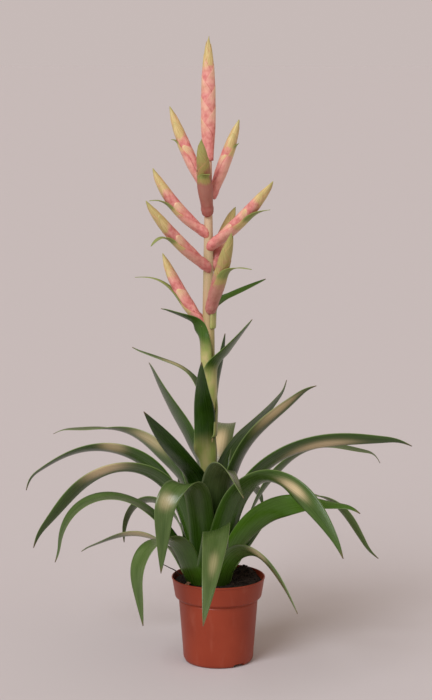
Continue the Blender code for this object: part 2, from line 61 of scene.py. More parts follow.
paper_form = bmesh.new()
bmesh.ops.create_grid(paper_form, x_segments=8, y_segments=8, size=PAPER_SIZE / 2)
paper_mesh = bpy.data.meshes.new("backing_paper")
paper_form.to_mesh(paper_mesh)
paper_form.free()
paper = bpy.data.objects.new("backing_paper", paper_mesh)
scene.collection.objects.link(paper)
paper_skin = bpy.data.materials.new("pale_paper")
paper_skin.use_nodes = True
paper_shader = paper_skin.node_tree.nodes["Principled BSDF"]
paper_shader.inputs["Roughness"].default_value = 0.9
paper_shader.inputs["Specular IOR Level"].default_value = 0.1
paper_shader.inputs["Base Color"].default_value = PAPER_COLOUR
paper_mesh.materials.append(paper_skin)

room = bpy.data.worlds.new("room")
scene.world = room
room.use_nodes = True
room_light = room.node_tree.nodes.get("Background")
room_light.inputs["Color"].default_value = ROOM_COLOUR
room_light.inputs["Strength"].default_value = ROOM_LIGHT
far_paper = room.node_tree.nodes.new("ShaderNodeBackground")
far_paper.inputs["Color"].default_value = LIT_PAPER_COLOUR
far_paper.inputs["Strength"].default_value = 1.0
path = room.node_tree.nodes.new("ShaderNodeLightPath")
seen = room.node_tree.nodes.new("ShaderNodeMixShader")
room.node_tree.links.new(path.outputs["Is Camera Ray"], seen.inputs["Fac"])
room.node_tree.links.new(room_light.outputs["Background"], seen.inputs[1])
room.node_tree.links.new(far_paper.outputs["Background"], seen.inputs[2])
room.node_tree.links.new(seen.outputs["Shader"], room.node_tree.nodes["World Output"].inputs["Surface"])


def soft_light(name, heading, height, spread, strength, colour):
    """A broad, distant light: its heading round the plant, height and spread are in degrees."""
    light = bpy.data.lights.new(name, "SUN")
    light.angle = radians(spread)
    light.energy = strength
    light.color = colour
    lamp = bpy.data.objects.new(name, light)
    lamp.rotation_euler = (radians(90 - height), 0, radians(heading + 90))
    scene.collection.objects.link(lamp)


soft_light("left_softbox", heading=237, height=38, spread=34, strength=2.50, colour=(0.93, 0.94, 1.0))
soft_light("right_softbox", heading=318, height=30, spread=50, strength=0.25, colour=(1, 0.95, 0.93))

camera_data = bpy.data.cameras.new("camera")
camera_data.lens = CAMERA_LENS
camera_data.sensor_width = CAMERA_SENSOR
camera = bpy.data.objects.new("camera", camera_data)
camera.location = CAMERA_PLACE
camera.rotation_euler = (radians(CAMERA_TILT), 0, 0)
scene.collection.objects.link(camera)
scene.camera = camera


# ---- Nursery pot ----
# A thin-walled pot moulded in one shot from satin terracotta-coloured plastic: a flared band with a
# rolled lip, a step under it, a plain tapering body and a foot ring with arched drainage notches.
RIM_RADIUS = 0.0600
BAND_FOOT_RADIUS = 0.0555
SHOULDER_RADIUS = 0.0507
FOOT_RADIUS = 0.0445
POT_HEIGHT = 0.1105
BAND_HEIGHT = 0.0260
BAND_STEP = 0.0035
POT_WALL = 0.0012
FOOT_CHAMFER = 0.0030
FOOT_LIFT = 0.0050
FOOT_LAND = 0.0025
NOTCH_COUNT = 3
NOTCH_WIDTH = 0.0170
NOTCH_HEIGHT = 0.0040
NOTCH_TURN = 307
POT_STEPS = 180
MERGE_GAP = 0.00002


def eased(x):
    """Eased step from 0 to 1."""
    x = np.clip(x, 0.0, 1.0)
    return x * x * (3 - 2 * x)


def finished_piece(name, form, skin, angle=40):
    """An object made of the form, smooth but for edges sharper than the angle."""
    mesh = bpy.data.meshes.new(name)
    form.to_mesh(mesh)
    form.free()
    mesh.materials.append(skin)
    mesh.shade_smooth()
    mesh.set_sharp_from_angle(angle=radians(angle))
    piece = bpy.data.objects.new(name, mesh)
    scene.collection.objects.link(piece)
    return piece


def turned_form(profile, steps):
    """A form made by turning a profile of (radius, height) points once round the z axis."""
    form = bmesh.new()
    corners = [form.verts.new((radius, 0, height)) for radius, height in profile]
    edges = [form.edges.new(pair) for pair in zip(corners, corners[1:])]
    bmesh.ops.spin(form, geom=corners + edges, axis=(0, 0, 1), angle=2 * pi, steps=steps, use_merge=True)
    bmesh.ops.remove_doubles(form, verts=form.verts, dist=MERGE_GAP)
    bmesh.ops.recalc_face_normals(form, faces=form.faces)
    return form


def new_skin(name, roughness, **settings):
    """A material, its node tree and its shader. The settings are the shader's own sockets."""
    skin = bpy.data.materials.new(name)
    skin.use_nodes = True
    shader = skin.node_tree.nodes["Principled BSDF"]
    shader.inputs["Roughness"].default_value = roughness
    for socket, value in settings.items():
        shader.inputs[socket.replace("_", " ")].default_value = value
    return skin, skin.node_tree, shader


def noise_of(tree, coordinates, scale, detail=3.0, stretch=(1, 1, 1)):
    """A noise value from 0 to 1 over the coordinates, which are stretched first."""
    mapping = tree.nodes.new("ShaderNodeMapping")
    mapping.inputs["Scale"].default_value = stretch
    tree.links.new(coordinates, mapping.inputs["Vector"])
    made = tree.nodes.new("ShaderNodeTexNoise")
    made.inputs["Scale"].default_value = scale
    made.inputs["Detail"].default_value = detail
    tree.links.new(mapping.outputs["Vector"], made.inputs["Vector"])
    return made.outputs["Fac"]


def ramp_of(tree, value, *stops):
    """The value turned into a colour by (position, colour) stops. A number stands for a grey."""
    made = tree.nodes.new("ShaderNodeValToRGB")
    ramp = made.color_ramp.elements
    while len(ramp) < len(stops):
        ramp.new(0.5)
    for element, (position, colour) in zip(ramp, stops):
        element.position = position
        element.color = (*colour, 1) if isinstance(colour, tuple) else (colour, colour, colour, 1)
    tree.links.new(value, made.inputs["Fac"])
    return made.outputs["Color"]


def mix_of(tree, share, first, second, blend="MIX"):
    """Two colours mixed by the share. Each may be a fixed value or another node's output."""
    made = tree.nodes.new("ShaderNodeMix")
    made.data_type = "RGBA"
    made.blend_type = blend
    for socket, value in (("Factor", share), ("A", first), ("B", second)):
        place = [s for s in made.inputs if s.name == socket and s.enabled][0]
        if isinstance(value, bpy.types.NodeSocket):
            tree.links.new(value, place)
        else:
            place.default_value = (*value, 1) if isinstance(value, tuple) else value
    return [s for s in made.outputs if s.enabled][0]


def bump_of(tree, shader, height, distance, strength=1.0):
    """The surface's fine relief."""
    made = tree.nodes.new("ShaderNodeBump")
    made.inputs["Distance"].default_value = distance
    made.inputs["Strength"].default_value = strength
    tree.links.new(height, made.inputs["Height"])
    tree.links.new(made.outputs["Normal"], shader.inputs["Normal"])


pot_skin, tree, shader = new_skin("satin_terracotta_plastic", 0.40, Specular_IOR_Level=0.32)
place = tree.nodes.new("ShaderNodeTexCoord").outputs["Object"]
cloudy = noise_of(tree, place, 26, 4)
colour = ramp_of(tree, cloudy, (0.3, (0.250, 0.034, 0.012)), (0.7, (0.290, 0.043, 0.016)))
dusty = ramp_of(tree, noise_of(tree, place, 90, 6, (1, 1, 0.25)), (0.56, 0.0), (0.75, 0.22))
colour = mix_of(tree, dusty, colour, (0.40, 0.12, 0.075))
tree.links.new(colour, shader.inputs["Base Color"])
scuffs = ramp_of(tree, noise_of(tree, place, 55, 5, (1, 1, 0.3)), (0.35, 0.36), (0.75, 0.52))
tree.links.new(scuffs, shader.inputs["Roughness"])
bump_of(tree, shader, noise_of(tree, place, 700, 2), 0.00006, 0.5)

band_foot = POT_HEIGHT - BAND_HEIGHT
shoulder = band_foot - BAND_STEP
foot_inside = FOOT_RADIUS - FOOT_CHAMFER - FOOT_LAND
pot_profile = [
    # The inside, from the middle of the floor up
    (0.0, FOOT_LIFT + POT_WALL),
    (FOOT_RADIUS - POT_WALL - 0.0010, FOOT_LIFT + POT_WALL),
    (FOOT_RADIUS - POT_WALL + 0.0004, FOOT_LIFT + POT_WALL + 0.0015),
    (SHOULDER_RADIUS - POT_WALL, shoulder),
    (SHOULDER_RADIUS - POT_WALL + 0.0012, shoulder + 0.0024),
    (BAND_FOOT_RADIUS - POT_WALL, band_foot + 0.0005),
    # The rolled lip
    (RIM_RADIUS - 0.0018, POT_HEIGHT - 0.0016),
    (RIM_RADIUS - 0.0016, POT_HEIGHT - 0.0005),
    (RIM_RADIUS - 0.0009, POT_HEIGHT),
    (RIM_RADIUS - 0.0002, POT_HEIGHT - 0.0005),
    (RIM_RADIUS, POT_HEIGHT - 0.0013),
    (RIM_RADIUS - 0.0003, POT_HEIGHT - 0.0022),
    (RIM_RADIUS - 0.0010, POT_HEIGHT - 0.0028),
    # The band, the step under it and the body
    (RIM_RADIUS - 0.0014, POT_HEIGHT - 0.0060),
    (BAND_FOOT_RADIUS + 0.0002, band_foot + 0.0018),
    (BAND_FOOT_RADIUS - 0.0002, band_foot + 0.0006),
    (BAND_FOOT_RADIUS - 0.0012, band_foot - 0.0004),
    (SHOULDER_RADIUS + 0.0012, shoulder + 0.0014),
    (SHOULDER_RADIUS + 0.0003, shoulder + 0.0008),
    (SHOULDER_RADIUS - 0.0006, shoulder + 0.0002),
    (SHOULDER_RADIUS - 0.0004, shoulder - 0.0008),
    (SHOULDER_RADIUS, shoulder - 0.0014),
    # The foot ring and the underside
    (FOOT_RADIUS + 0.0012, 0.0160),
    (FOOT_RADIUS + 0.0006, FOOT_CHAMFER + 0.0030),
    (FOOT_RADIUS, FOOT_CHAMFER),
    (FOOT_RADIUS - 0.0010, 0.0012),
    (FOOT_RADIUS - FOOT_CHAMFER + 0.0004, 0.0002),
    (FOOT_RADIUS - FOOT_CHAMFER, 0.0),
    (foot_inside, 0.0),
    (foot_inside, FOOT_LIFT),
    (0.0, FOOT_LIFT),
]
form = turned_form(pot_profile, POT_STEPS)
notch_pitch = 360 / NOTCH_COUNT
for vertex in form.verts:
    heading = np.degrees(np.arctan2(vertex.co.y, vertex.co.x)) - NOTCH_TURN
    off_middle = abs((heading + notch_pitch / 2) % notch_pitch - notch_pitch / 2)
    off_notch = radians(off_middle) * FOOT_RADIUS
    if vertex.co.xy.length > foot_inside - 0.001 and off_notch < NOTCH_WIDTH / 2:
        vertex.co.z = max(vertex.co.z, NOTCH_HEIGHT)
pot = finished_piece("nursery_pot", form, pot_skin, 30)
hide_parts("pot")
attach(pot, "root")


# ---- Soil ----
# Dark peat filled to just under the lip, crumbly and uneven, with one heap at the back right and a
# bowl in the middle where the plant's lowest leaf bases sit.
SOIL_LEVEL = 0.1040
SOIL_GAP = 0.0004
SOIL_RINGS = 30
SOIL_STEPS = 96
SOIL_MOUND = 0.0110
MOUND_PLACE = Vector((0.034, 0.030))
MOUND_RADIUS = 0.0090
PLANT_X = -0.0125
BOWL_RADIUS = 0.0300
BOWL_DEPTH = 0.0150
CRUMB_COUNT = 520
SMALLEST_CRUMB = 0.0005
LARGEST_CRUMB = 0.0016

soil_skin, tree, shader = new_skin("crumbly_peat", 0.95, Specular_IOR_Level=0.25)
place = tree.nodes.new("ShaderNodeTexCoord").outputs["Object"]
grains = noise_of(tree, place, 420, 6)
black_peat, brown_peat, dry_peat = (0.006, 0.004, 0.003), (0.030, 0.018, 0.012), (0.075, 0.048, 0.030)
peat = ramp_of(tree, grains, (0.35, black_peat), (0.62, brown_peat), (0.8, dry_peat))
tree.links.new(peat, shader.inputs["Base Color"])
bump_of(tree, shader, noise_of(tree, place, 600, 8), 0.0006)


def soil_top(x, y):
    """The height of the soil's lumpy top."""
    spot = Vector((x, y, 0))
    lumps = 0.0016 * noise.noise(spot * 90) + 0.0009 * noise.noise(spot * 260)
    away = Vector((x, y)) - MOUND_PLACE
    mound = SOIL_MOUND * np.exp(-away.length_squared / MOUND_RADIUS**2 / 2)
    mound *= 1 + 0.5 * noise.noise(spot * 200)
    bowl = BOWL_DEPTH * (1 - eased(((x - PLANT_X) ** 2 + y * y) ** 0.5 / BOWL_RADIUS))
    return SOIL_LEVEL + lumps + mound - bowl


form = bmesh.new()
soil_edge = RIM_RADIUS - 0.0021 - SOIL_GAP
bmesh.ops.create_circle(form, cap_ends=True, segments=SOIL_STEPS, radius=soil_edge)
bmesh.ops.translate(form, vec=(0, 0, FOOT_LIFT + POT_WALL + SOIL_GAP), verts=form.verts)
rings = [(FOOT_LIFT + POT_WALL + SOIL_GAP, FOOT_RADIUS - POT_WALL), (shoulder, SHOULDER_RADIUS - POT_WALL)]
rings += [(band_foot, BAND_FOOT_RADIUS - POT_WALL), (SOIL_LEVEL - 0.002, RIM_RADIUS - 0.0028)]
bmesh.ops.reverse_faces(form, faces=form.faces[:])
loop = form.edges[:]
for vertex in form.verts:
    vertex.co.xy *= (rings[0][1] - SOIL_GAP) / soil_edge
for height, radius in rings[1:]:
    raised = bmesh.ops.extrude_edge_only(form, edges=loop)["geom"]
    loop = [item for item in raised if isinstance(item, bmesh.types.BMEdge)]
    for vertex in {corner for edge in loop for corner in edge.verts}:
        vertex.co.xy = vertex.co.xy.normalized() * (radius - SOIL_GAP)
        vertex.co.z = height
for step in range(1, SOIL_RINGS + 1):
    raised = bmesh.ops.extrude_edge_only(form, edges=loop)["geom"]
    loop = [item for item in raised if isinstance(item, bmesh.types.BMEdge)]
    for vertex in {corner for edge in loop for corner in edge.verts}:
        vertex.co.xy = vertex.co.xy.normalized() * (rings[-1][1] - SOIL_GAP) * (1 - step / (SOIL_RINGS + 0.5))
        vertex.co.z = soil_top(vertex.co.x, vertex.co.y)
bmesh.ops.contextual_create(form, geom=loop)
bmesh.ops.recalc_face_normals(form, faces=form.faces)
soil = finished_piece("peat_bed", form, soil_skin, 60)
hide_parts("soil")
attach(soil, "root")

# Loose crumbs of peat lying on it.
chance = np.random.default_rng(7)
form = bmesh.new()
for index in range(CRUMB_COUNT):
    spot = chance.uniform(-1, 1, 2) * (rings[-1][1] - 0.0030)
    past_soil = np.linalg.norm(spot) > rings[-1][1] - 0.0028
    under_leaves = np.linalg.norm(spot - [PLANT_X, 0]) < BOWL_RADIUS - 0.003
    if past_soil or under_leaves:
        continue
    size = chance.uniform(SMALLEST_CRUMB, LARGEST_CRUMB)
    made = bmesh.ops.create_icosphere(form, subdivisions=1, radius=size)["verts"]
    squash = Matrix.Diagonal(Vector(chance.uniform(0.6, 1.5, 3)))
    bmesh.ops.transform(form, matrix=squash.to_4x4(), verts=made)
    for vertex in made:
        vertex.co *= 1 + 0.35 * noise.noise(vertex.co * 900 + Vector((index, 0, 0)))
    bmesh.ops.translate(form, vec=(*spot, soil_top(*spot) + 0.3 * size), verts=made)
crumbs = finished_piece("peat_crumbs", form, soil_skin, 20)
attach(crumbs, "root")


# ---- Litter ----
# Bits of bark and twig left in the peat: one pale chip and two thin dark twigs by the left of the
# rim, the longer one sticking out over it.
CHIP_SIZE = (0.0092, 0.0046, 0.0016)
CHIP_PLACE = (-0.0400, -0.0300, SOIL_LEVEL + 0.0028)
CHIP_TILT = -35
CHIP_TURN = 40
TWIG_RADIUS = 0.0009

bark_skin, tree, shader = new_skin("dry_bark", 0.8, Specular_IOR_Level=0.3)
place = tree.nodes.new("ShaderNodeTexCoord").outputs["Object"]
fibre = noise_of(tree, place, 500, 5, (1, 1, 0.15))
bark_colour = ramp_of(tree, fibre, (0.3, (0.13, 0.055, 0.028)), (0.7, (0.42, 0.22, 0.13)))
tree.links.new(bark_colour, shader.inputs["Base Color"])
bump_of(tree, shader, fibre, 0.0003)
twig_skin, tree, shader = new_skin("dark_twig", 0.75, Specular_IOR_Level=0.3)
place = tree.nodes.new("ShaderNodeTexCoord").outputs["Object"]
fibre = noise_of(tree, place, 900, 4)
twig_colour = ramp_of(tree, fibre, (0.3, (0.010, 0.007, 0.005)), (0.7, (0.045, 0.028, 0.020)))
tree.links.new(twig_colour, shader.inputs["Base Color"])

form = bmesh.new()
bmesh.ops.create_cube(form, size=1)
bmesh.ops.subdivide_edges(form, edges=form.edges, cuts=5, use_grid_fill=True)
bmesh.ops.scale(form, vec=CHIP_SIZE, verts=form.verts)
for vertex in form.verts:
    grain = noise.noise(Vector((vertex.co.x * 260, vertex.co.y * 900, vertex.co.z * 900)))
    vertex.co.z += 0.0005 * grain - 9 * vertex.co.x**2
    vertex.co.y *= 1 + 0.25 * noise.noise(vertex.co * 400)
bmesh.ops.rotate(form, matrix=Matrix.Rotation(radians(CHIP_TILT), 3, "Y"), verts=form.verts)
bmesh.ops.rotate(form, matrix=Matrix.Rotation(radians(CHIP_TURN), 3, "Z"), verts=form.verts)
bmesh.ops.translate(form, vec=CHIP_PLACE, verts=form.verts)
chip = finished_piece("bark_flake", form, bark_skin, 30)
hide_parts("bark_chip")
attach(chip, "root")


def drawn_twig(name, points, thick, thin, skin):
    """A thin tube through the points, thinning along its length, with rounded ends."""
    line = bpy.data.curves.new(name, "CURVE")
    line.dimensions = "3D"
    line.bevel_depth = thick
    line.bevel_resolution = 2
    line.use_fill_caps = True
    spline = line.splines.new("NURBS")
    spline.points.add(len(points) - 1)
    spline.use_endpoint_u = True
    spline.order_u = 3
    for index, (knot, point) in enumerate(zip(spline.points, points)):
        knot.co = (*point, 1)
        knot.radius = 1 + (thin / thick - 1) * index / (len(points) - 1)
    line.materials.append(skin)
    piece = bpy.data.objects.new(name, line)
    scene.collection.objects.link(piece)
    return piece


long_points = [(-0.045, 0.006, 0.1065), (-0.0505, 0.0045, 0.1110), (-0.0560, 0.0036, 0.1170)]
long_points += [(-0.0625, 0.0022, 0.1200), (-0.0690, 0.0010, 0.1242), (-0.0735, 0.0000, 0.1258)]
long_twig = drawn_twig("twig_over_rim", long_points, TWIG_RADIUS, 0.0005, twig_skin)
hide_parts("twig_long")
short_points = [(-0.0445, 0.0200, 0.1065), (-0.0468, 0.0210, 0.1115)]
short_points += [(-0.0480, 0.0217, 0.1135), (-0.0500, 0.0220, 0.1162)]
short_twig = drawn_twig("twig_stub", short_points, TWIG_RADIUS, 0.0004, twig_skin)
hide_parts("twig_short")
for twig in (long_twig, short_twig):
    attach(twig, "root")


# ---- Flower stem ----
# The round stem that carries the flower head: pale green tinged tan and pink, thinner to the top,
# smooth and a little waxy. It grows from the middle of the rosette and is hidden low down by leaves.
CROWN_LEVEL = 0.0880
STEM_LENGTH = 0.5520
STEM_FOOT_RADIUS = 0.0070
STEM_SWELL = 0.0010
STEM_TOP_RADIUS = 0.0042
STEM_TOP = CROWN_LEVEL + STEM_LENGTH
# Shares of the stem's length: where it swells and over how much, where it thins and over how much,
# and where it turns from green to tan.
SWELL_FROM, SWELL_OVER = 0.30, 0.065
THIN_FROM, THIN_OVER = 0.52, 0.54
TAN_FROM, TAN_BY = 0.62, 0.92
STEM_ROWS = 60
STEM_STEPS = 32


def stem_radius(height):
    """The stem's radius at a height above the floor."""
    share = (height - CROWN_LEVEL) / STEM_LENGTH
    full = STEM_FOOT_RADIUS + STEM_SWELL * eased((share - SWELL_FROM) / SWELL_OVER)
    thinning = STEM_FOOT_RADIUS + STEM_SWELL - STEM_TOP_RADIUS
    return full - thinning * eased((share - THIN_FROM) / THIN_OVER)


stem_skin, tree, shader = new_skin("pale_stem_skin", 0.42, Specular_IOR_Level=0.45)
place = tree.nodes.new("ShaderNodeTexCoord").outputs["Object"]
green_tan = ramp_of(
    tree, noise_of(tree, place, 40, 4, (1, 1, 0.2)), (0.35, (0.30, 0.33, 0.095)), (0.65, (0.50, 0.39, 0.17))
)
pinkish = ramp_of(tree, noise_of(tree, place, 60, 3, (1, 1, 0.12)), (0.5, 0.0), (0.75, 0.7))
stem_colour = mix_of(tree, pinkish, green_tan, (0.56, 0.30, 0.22))
apart = tree.nodes.new("ShaderNodeSeparateXYZ")
tree.links.new(place, apart.inputs["Vector"])
upward = tree.nodes.new("ShaderNodeMapRange")
upward.inputs["From Min"].default_value = CROWN_LEVEL + TAN_FROM * STEM_LENGTH
upward.inputs["From Max"].default_value = CROWN_LEVEL + TAN_BY * STEM_LENGTH
tree.links.new(apart.outputs["Z"], upward.inputs["Value"])
stem_colour = mix_of(tree, upward.outputs["Result"], stem_colour, (0.63, 0.47, 0.32))
tree.links.new(stem_colour, shader.inputs["Base Color"])
bump_of(tree, shader, noise_of(tree, place, 700, 3, (1, 1, 0.05)), 0.0002)

heights = np.linspace(STEM_TOP + 0.004, CROWN_LEVEL + 0.001, STEM_ROWS)
side = [(float(stem_radius(height)), float(height)) for height in heights]
form = turned_form([(0.0, STEM_TOP + 0.0045), *side, (0.0, CROWN_LEVEL + 0.001)], STEM_STEPS)
bmesh.ops.translate(form, vec=(PLANT_X, 0, 0), verts=form.verts)
stem = finished_piece("flower_stem", form, stem_skin, 60)
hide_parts("stem")
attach(stem, "root")


# ---- Rosette leaves ----
# Leathery strap leaves growing from the crown in nested cups, the oldest outermost and lowest. Each
# clasps the ones inside it with a broad sheath, rises, arches over and runs to a fine curled point.
# They are channelled along the middle, with a thin pale edge, a dusty grey-green that is partly
# painted sheen on their outer parts, and sun-bleached patches on some. One leaf's patch is a painted
# sheen, and the leaves lying in shade get painted shade from a darker copy of the tissue.
LEAF_THICKNESS = 0.0008
INSERTION_RADIUS = 0.0080
CUP_HEIGHT = 0.0240
SHEATH_WIDTH = 0.0460
SHEATH_END = 0.36
SHEATH_ANGLE = 135
CHANNEL_ANGLE = 55
TIP_CHANNEL_ANGLE = 20
BLADE_EASE = 0.060
TIP_WIDTH = 0.0008
LEAF_ROWS = 64
LEAF_COLUMNS = 11
CUP_STEPS = 40
BLADE_STEPS = 400
# Shares of a leaf's length: where its tip curls, and where its roll and its twist begin and over
# how much of the leaf each comes on.
CURL_FROM = 0.90
ROLL_FROM = 0.10
TWIST_FROM = 0.45
TURN_OVER = 0.40
PALE_FADE = 0.030

# A leaf's row: heading round the stem, the cup's reach, its level above the crown, length, width,
# steepness at the cup and at the tip, where it bends and over what share, sweep of its heading,
# roll of its blade and twist of its outer half, how far it keeps clasping, curl of its tip,
# freshness of its green and how much dusty grey-green, partly painted sheen, it has (0 to 1), and,
# for some, a patch as its place along, half length, place across, half width and strength: a
# sun-bleached patch on most, a painted sheen on leaf_front_3.
LEAF_FIELDS = "name turn reach level length width rise fall bend spread sweep roll twist hold curl fresh dust"
Leaf = namedtuple("Leaf", LEAF_FIELDS + " patch", defaults=[None])
ROSETTE = [
    Leaf("leaf_left_1", 124, 0.0055, 0.048, 0.324, 0.030, 87, 27, 0.41, 0.40, -18, 85, -8, 0, 10, 0.25, 0.0),
    Leaf("leaf_right_1", 49, 0.0068, 0.037, 0.322, 0.023, 86, 20, 0.42, 0.35, 18, 85, 20, 0, -30, 0.30, 0.0),
    Leaf("leaf_left_2", 242, 0.0068, 0.037, 0.299, 0.030, 85, 38, 0.38, 0.22, 3, 9, 19, 0, 0, 0.10, 0.0),
    Leaf(
        "leaf_back_1", 70, 0.0080, 0.031, 0.330, 0.036, 82, -45, 0.58, 0.60, 30, 0, 0, 0, 20, 0.35, 0.9,
        (0.50, 0.075, 0.0, 0.55, 1.0),
    ),
    Leaf(
        "leaf_right_2", 333, 0.0080, 0.031, 0.306, 0.033, 82, 40, 0.53, 0.58, -4, -5, -23, 0, 20, 0.30, 0.2,
        (0.79, 0.12, -0.35, 0.7, 1.0),
    ),
    Leaf(
        "leaf_left_3", 145, 0.0092, 0.027, 0.357, 0.028, 81, -7, 0.46, 0.70, -1, 77, -85, 0, 20, 0.35, 0.5,
        (0.535, 0.075, 0.4, 0.65, 0.65),
    ),
    Leaf("leaf_front_2", 281, 0.0092, 0.027, 0.276, 0.036, 79, -20, 0.60, 0.62, 6, -6, -35, 0, 0, 0.05, 0.8),
    Leaf(
        "leaf_left_4", 179, 0.0105, 0.023, 0.357, 0.031, 77, -34, 0.53, 0.78, -22, 45, -23, 0, 40, 0.30, 0.1,
        (0.60, 0.045, 0.5, 0.8, 0.8),
    ),
    Leaf(
        "leaf_left_5", 207, 0.0118, 0.019, 0.363, 0.034, 77, -51, 0.51, 0.66, -43, 26, 42, 0, 20, 0.35, 0.2,
        (0.62, 0.07, 0.6, 0.9, 1.0),
    ),
    Leaf(
        "leaf_right_3", 334, 0.0118, 0.019, 0.366, 0.037, 79, -1, 0.49, 0.79, 33, -19, -31, 0, 25, 0.30, 0.1,
        (0.68, 0.12, 0.35, 0.6, 1.0),
    ),
    Leaf(
        "leaf_left_7", 259, 0.0126, 0.016, 0.295, 0.034, 74, -87, 0.59, 0.41, -71, 2, -13, 0, 0, 0.30, 0.5,
        (0.695, 0.035, -0.1, 0.7, 0.45),
    ),
    Leaf("leaf_left_8", 136, 0.0142, 0.012, 0.231, 0.022, 63, -107, 0.68, 0.96, 8, 57, -54, 0, 0, 0.5, 0.6),
    Leaf(
        "leaf_right_5", 301, 0.0142, 0.011, 0.374, 0.038, 74, -52, 0.57, 0.87, 17, -8, -109, 0, 10, 0.40, 0.2,
        (0.70, 0.065, -0.05, 0.45, 0.95),
    ),
    Leaf("leaf_right_4", 22, 0.0155, 0.009, 0.360, 0.020, 64, -15, 0.55, 0.59, 22, -54, 78, 0, 40, 0.4, 0.4),
    Leaf(
        "leaf_left_6", 166, 0.0168, 0.007, 0.309, 0.028, 63, -125, 0.69, 1.14, -3,
        0, -42, 0, -30, 0.35, 0.3,
    ),
    Leaf("leaf_right_7", 323, 0.0168, 0.007, 0.281, 0.030, 69, 2, 0.48, 0.78, 5, -61, -96, 0, 30, 0.9, 0.0),
    Leaf("leaf_right_6", 4, 0.0180, 0.004, 0.310, 0.022, 58, -60, 0.58, 0.56, 1, 13, -60, 0, -20, 0.4, 0.6),
    Leaf("leaf_back_3", 101, 0.0175, 0.003, 0.290, 0.026, 62.5, -35, 0.60, 0.80, 0, 0, 0, 0, 30, 0.3, 0.2),
    Leaf(
        "leaf_left_9", 150, 0.0192, 0.002, 0.230, 0.019, 62, -24, 0.39, 0.80, -11, 39, -26, 0, 10, 0.5, 0.4,
        (0.52, 0.13, 0.5, 0.9, 0.6),
    ),
    # This leaf's patch is a painted sheen, not sun-bleaching.
    Leaf(
        "leaf_front_3", 278, 0.0192, 0.002, 0.339, 0.036, 60, -61, 0.57, 0.92, -25, 18, -22, 0, 0, 0.35, 0.5,
        (0.77, 0.05, 0.1, 0.45, 0.3),
    ),
    Leaf("leaf_left_10", 239, 0.0205, 0.000, 0.254, 0.031, 61, -97, 0.55, 0.56, -64, 16, -3, 0, 0, 0.55, 0.5),
    Leaf("leaf_back_2", 70, 0.0205, 0.000, 0.280, 0.028, 62, -40, 0.58, 0.80, 0, 0, 0, 0, 25, 0.3, 0.2),
    Leaf(
        "leaf_right_8", 292, 0.0218, -0.002, 0.272, 0.024, 57, -51, 0.57, 1.01, 15, -40, -35, 0, 0, 0.45, 0.4,
        (0.64, 0.07, -0.5, 0.6, 0.6),
    ),
    Leaf("leaf_back_4", 92, 0.0218, -0.002, 0.310, 0.028, 58, -20, 0.55, 0.70, 0, 0, 0, 0, 20, 0.4, 0.3),
]


def leaf_skin_of(name, light, dark, young):
    """Leaf tissue: long fine veins, a thin pale edge, and tones from its attribute, partly painted sheen."""
    skin, tree, shader = new_skin(name, 0.30, Specular_IOR_Level=0.36, Coat_Weight=0.05, Coat_Roughness=0.10)
    uv = tree.nodes.new("ShaderNodeUVMap")
    uv.uv_map = "leaf_uv"
    tone = tree.nodes.new("ShaderNodeVertexColor")
    tone.layer_name = "leaf_tone"
    parts = tree.nodes.new("ShaderNodeSeparateColor")
    tree.links.new(tone.outputs["Color"], parts.inputs["Color"])
    bleach_and_sheen, fresh, dust = (parts.outputs[name] for name in ("Red", "Green", "Blue"))
    veins = noise_of(tree, uv.outputs["UV"], 1.0, 3, (46, 1.6, 1))
    cloudy = noise_of(tree, uv.outputs["UV"], 1.0, 4, (3, 9, 1))
    green = ramp_of(tree, cloudy, (0.3, dark), (0.72, light))
    green = mix_of(tree, fresh, green, young)
    streaks = ramp_of(tree, veins, (0.35, 0.76), (0.65, 1.0))
    green = mix_of(tree, 1.0, green, streaks, "MULTIPLY")
    # A dusty grey-green, partly painted sheen, over the leaf's outer part, as strong as the tone's blue
    # channel.
    dust_and_sheen_share = ramp_of(tree, cloudy, (0.3, 0.35), (0.7, 0.85))
    dust_and_sheen_share = mix_of(tree, 1.0, dust, dust_and_sheen_share, "MULTIPLY")
    dusty = mix_of(tree, dust_and_sheen_share, green, (0.150, 0.185, 0.075))
    # The patches' tan: sun-bleaching on most leaves, a painted sheen on leaf_front_3.
    tan = ramp_of(tree, veins, (0.3, (0.58, 0.45, 0.235)), (0.7, (0.78, 0.64, 0.385)))
    patched = mix_of(tree, bleach_and_sheen, dusty, tan)
    wrapping = ramp_of(tree, cloudy, (0.35, (0.36, 0.42, 0.11)), (0.65, (0.54, 0.46, 0.20)))
    patched = mix_of(tree, tone.outputs["Alpha"], patched, wrapping)
    across = tree.nodes.new("ShaderNodeSeparateXYZ")
    tree.links.new(uv.outputs["UV"], across.inputs["Vector"])
    rim = ramp_of(tree, across.outputs["X"], (0.0, 0.55), (0.022, 0.0), (0.978, 0.0), (1.0, 0.55))
    edged = mix_of(tree, rim, patched, (0.22, 0.30, 0.10))
    tip = ramp_of(tree, across.outputs["Y"], (0.965, 0.0), (1.0, 0.85))
    tree.links.new(mix_of(tree, tip, edged, (0.16, 0.10, 0.05)), shader.inputs["Base Color"])
    tree.links.new(ramp_of(tree, veins, (0.3, 0.22), (0.7, 0.34)), shader.inputs["Roughness"])
    bump_of(tree, shader, veins, 0.00025, 0.6)
    return skin


leaf_skin = leaf_skin_of(
    "leaf_tissue", light=(0.036, 0.096, 0.008), dark=(0.016, 0.050, 0.004), young=(0.075, 0.175, 0.010)
)
# A darker copy of the same tissue: painted shade on the leaves listed below, whose seen faces lie in shade.
painted_shade_leaf_skin = leaf_skin_of(
    "dark_leaf_tissue", light=(0.026, 0.072, 0.005), dark=(0.012, 0.040, 0.003), young=(0.060, 0.135, 0.008)
)
PAINTED_SHADE_LEAVES = ("leaf_front_1", "leaf_left_1", "leaf_left_2", "leaf_front_2", "stem_leaf_2")


